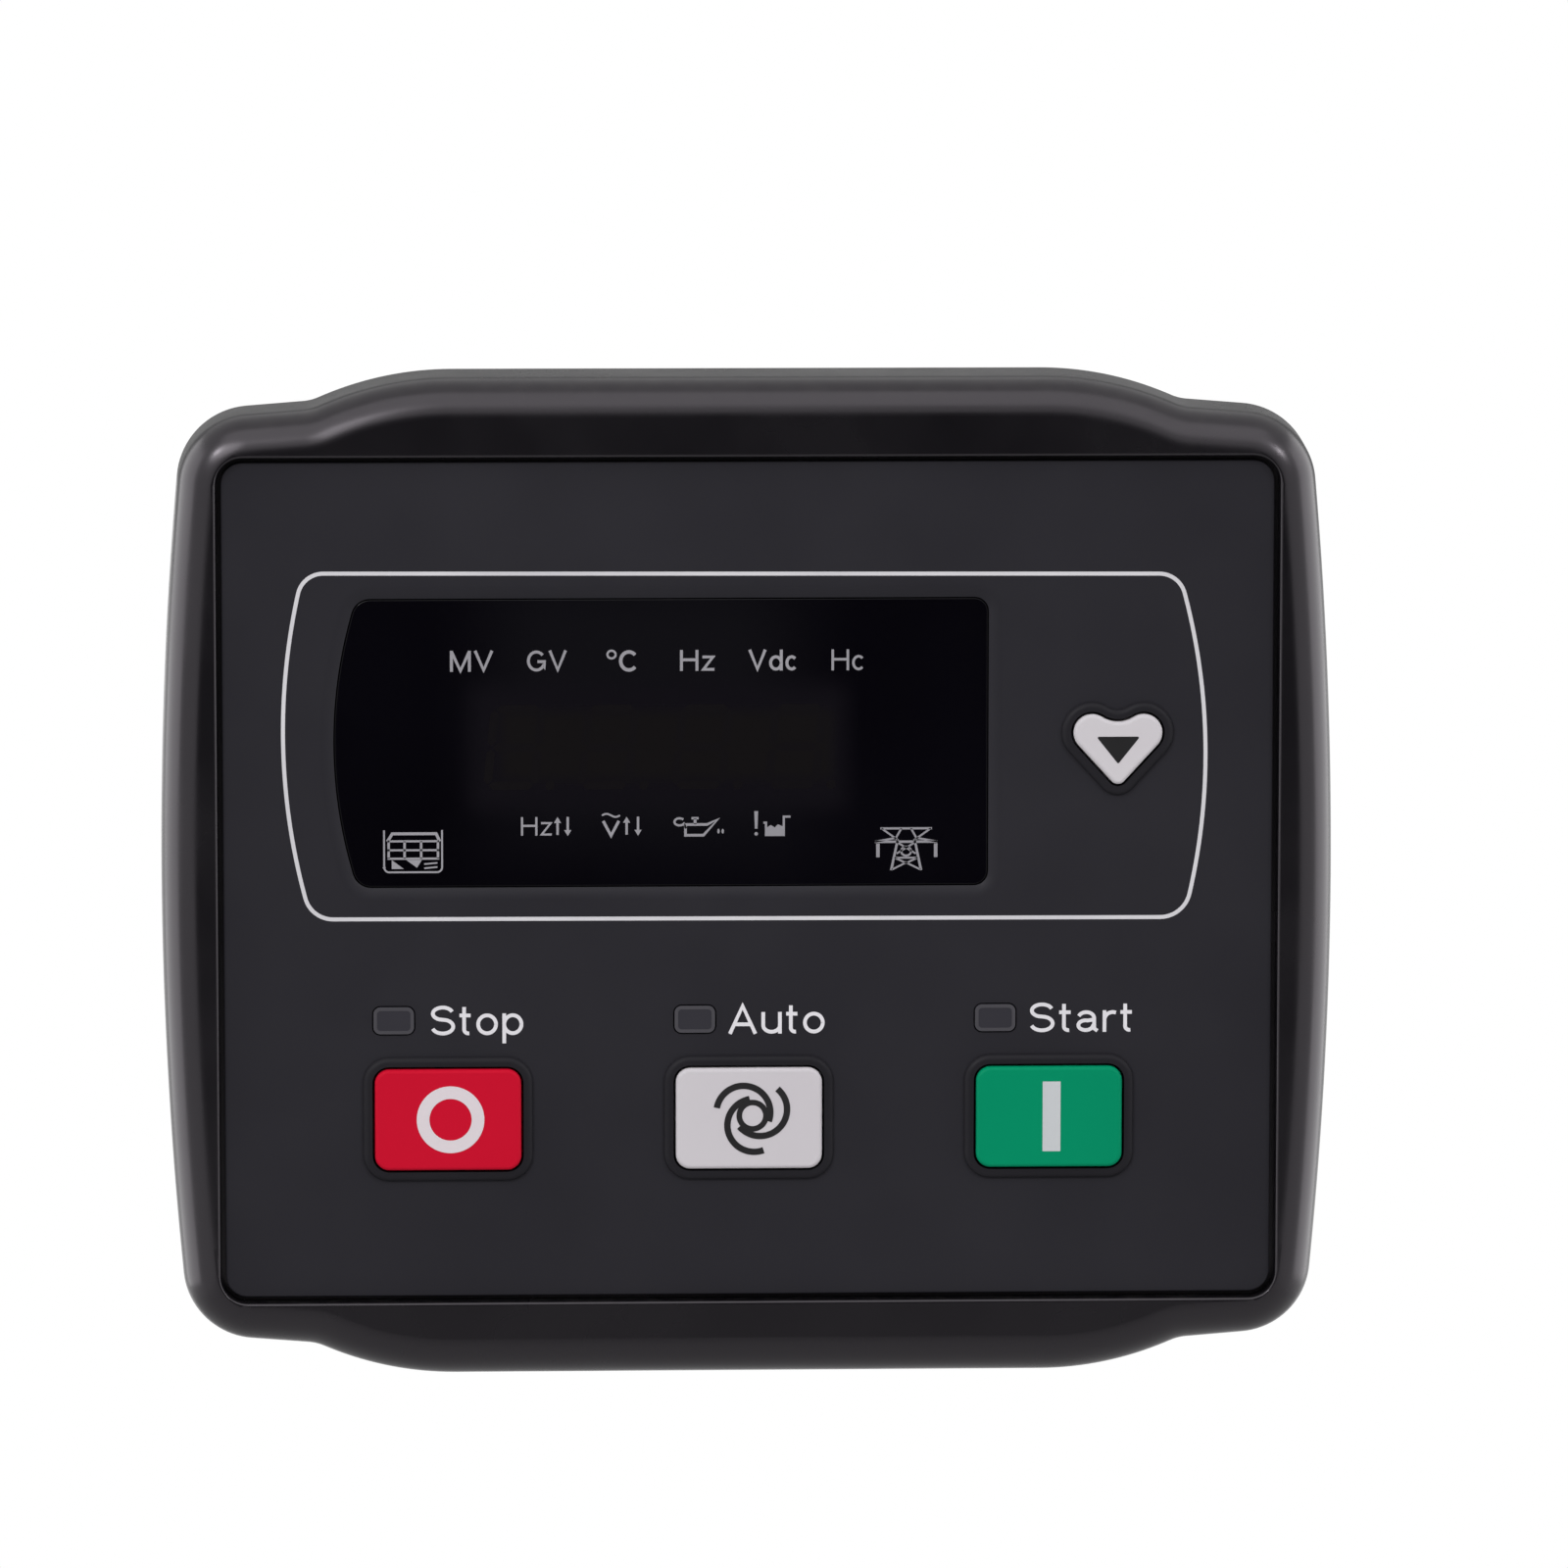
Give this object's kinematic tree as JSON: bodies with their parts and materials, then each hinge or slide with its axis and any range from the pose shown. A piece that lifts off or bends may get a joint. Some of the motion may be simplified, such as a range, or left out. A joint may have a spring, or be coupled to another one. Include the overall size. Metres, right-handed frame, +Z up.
{
  "type": "genset controller",
  "caption": "Panel-mounted generating-set start controller with a dark bulged bezel, tinted display window, coloured keys, side clips and rear terminal headers.",
  "frame": {"origin": "centre of the panel cut-out, in the plane of the panel's front face, where the gasket seats", "axes": "+X to the right seen from the front, +Y into the panel, +Z up; the facia faces -Y"},
  "size_m": [0.0982, 0.04, 0.0842],
  "materials": {
    "bezel_plastic": "satin-gloss black moulding",
    "facia_film": "fine satin dark grey printed film",
    "lens_plastic": "dark tinted window with white printed legends",
    "key_red": "satin red with a pale ring symbol",
    "key_white": "satin off-white",
    "key_green": "satin green with a pale bar symbol",
    "lamp_plastic": "smoky translucent plastic",
    "switch_plastic": "moulded black",
    "led_plastic": "clear epoxy with a pale phosphor",
    "digit_plastic": "grey display block",
    "circuit_board": "green solder resist",
    "component_plastic": "moulded black",
    "relay_plastic": "moulded dark blue",
    "header_plastic": "moulded green",
    "housing_plastic": "fine-textured black moulding",
    "gasket_rubber": "closed-cell black rubber",
    "steel": "zinc-plated steel"
  },
  "bodies": {
    "root": {"front_bezel": "bezel_plastic", "gasket": "gasket_rubber", "facia": "facia_film", "display_lens": "lens_plastic", "switch_stop": "switch_plastic", "switch_auto": "switch_plastic", "switch_start": "switch_plastic", "switch_scroll": "switch_plastic", "light_pipe_stop": "lamp_plastic", "light_pipe_auto": "lamp_plastic", "light_pipe_start": "lamp_plastic", "led_stop": "led_plastic", "led_auto": "led_plastic", "led_start": "led_plastic", "digit_display": "digit_plastic", "light_baffle": "switch_plastic", "display_board": "circuit_board", "display_board_screw_1": "steel", "display_board_screw_2": "steel", "display_board_screw_3": "steel", "display_board_screw_4": "steel", "controller_chip": "component_plastic", "link_socket": "component_plastic", "link_header": "component_plastic", "power_board": "circuit_board", "power_board_screw_1": "steel", "power_board_screw_2": "steel", "power_board_screw_3": "steel", "power_board_screw_4": "steel", "relay_fuel": "relay_plastic", "relay_start": "relay_plastic", "relay_alarm": "relay_plastic", "supply_capacitor": "component_plastic", "supply_choke": "component_plastic", "regulator": "component_plastic", "header_upper": "header_plastic", "header_lower": "header_plastic", "service_socket": "component_plastic", "rear_housing": "housing_plastic", "housing_screw_1": "steel", "housing_screw_2": "steel", "housing_screw_3": "steel", "housing_screw_4": "steel", "clip_left": "housing_plastic", "clip_right": "housing_plastic", "clamp_screw_left": "steel", "clamp_screw_right": "steel"},
    "stop_button": {"key_stop": "key_red", "plunger_stop": "switch_plastic"},
    "auto_button": {"key_auto": "key_white", "plunger_auto": "switch_plastic"},
    "start_button": {"key_start": "key_green", "plunger_start": "switch_plastic"},
    "scroll_button": {"key_scroll": "key_white", "plunger_scroll": "switch_plastic"}
  },
  "joints": [
    {"name": "stop_press", "type": "slide", "parent": "root", "child": "stop_button", "axis": [0, 1, 0], "range_m": [0, 0.0005], "stiffness_N_per_m": 1500, "springref_m": -0.001},
    {"name": "auto_press", "type": "slide", "parent": "root", "child": "auto_button", "axis": [0, 1, 0], "range_m": [0, 0.0005], "stiffness_N_per_m": 1500, "springref_m": -0.001},
    {"name": "start_press", "type": "slide", "parent": "root", "child": "start_button", "axis": [0, 1, 0], "range_m": [0, 0.0005], "stiffness_N_per_m": 1500, "springref_m": -0.001},
    {"name": "scroll_press", "type": "slide", "parent": "root", "child": "scroll_button", "axis": [0, 1, 0], "range_m": [0, 0.0005], "stiffness_N_per_m": 1500, "springref_m": -0.001}
  ]
}
